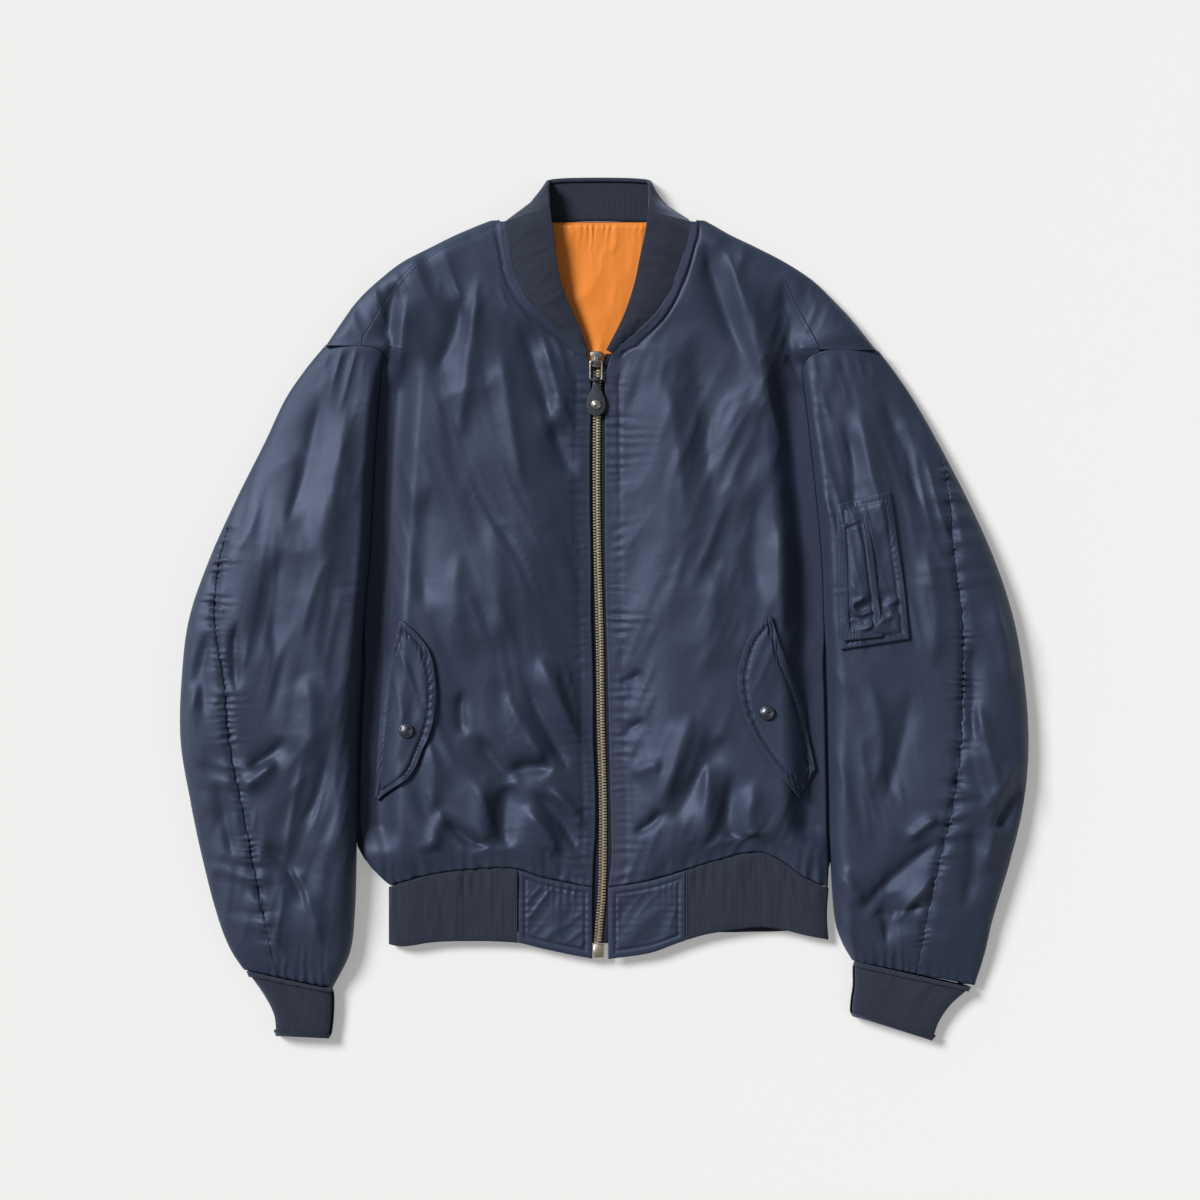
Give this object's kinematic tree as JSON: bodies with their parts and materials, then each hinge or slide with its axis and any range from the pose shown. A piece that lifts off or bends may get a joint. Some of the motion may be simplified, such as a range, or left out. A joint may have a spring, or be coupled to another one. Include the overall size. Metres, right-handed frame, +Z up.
{
  "type": "bomber jacket",
  "caption": "Bomber jacket laid flat, front up: shell panels, knitted collar, cuffs and hem, closed front zip with a leather puller, slanted flap pockets and a sleeve pocket.",
  "frame": {"origin": "on the floor under the middle of the jacket's outer box", "axes": "+Z up out of the front, +Y toward the collar, +X toward the wearer's left"},
  "size_m": [0.8076, 0.8192, 0.0436],
  "materials": {
    "nylon": "satin navy nylon twill, lightly padded",
    "rib": "dark navy rib knit",
    "lining": "orange nylon lining",
    "tape": "woven zip tape",
    "teeth": "antique brass zip teeth",
    "hardware": "dark antique metal",
    "leather": "dark grey leather"
  },
  "bodies": {
    "jacket": {"back": "nylon", "front_right": "nylon", "front_left": "nylon", "sleeve_right_top": "nylon", "sleeve_right_under": "nylon", "sleeve_left_top": "nylon", "sleeve_left_under": "nylon", "hem_tab_right": "nylon", "hem_tab_left": "nylon", "flap_right": "nylon", "flap_left": "nylon", "sleeve_pocket": "nylon", "pen_pocket": "nylon", "cuff_right": "rib", "cuff_left": "rib", "collar_rib": "rib", "hem_rib": "rib", "lining_back": "lining", "zip_tape_right": "tape", "zip_tape_left": "tape", "zip_chain": "teeth", "snap_right": "hardware", "snap_left": "hardware", "zip_slider": "hardware", "zip_stop": "hardware"},
    "pull": {"zip_pull": "hardware", "zip_strap": "leather", "zip_rivet": "hardware"}
  },
  "joints": [
    {"name": "pull_hinge", "type": "hinge", "parent": "jacket", "child": "pull", "pos_m": [-0.0077, 0.23497, 0.0163], "axis": [-1, 0, 0], "range_deg": [0, 140]}
  ]
}
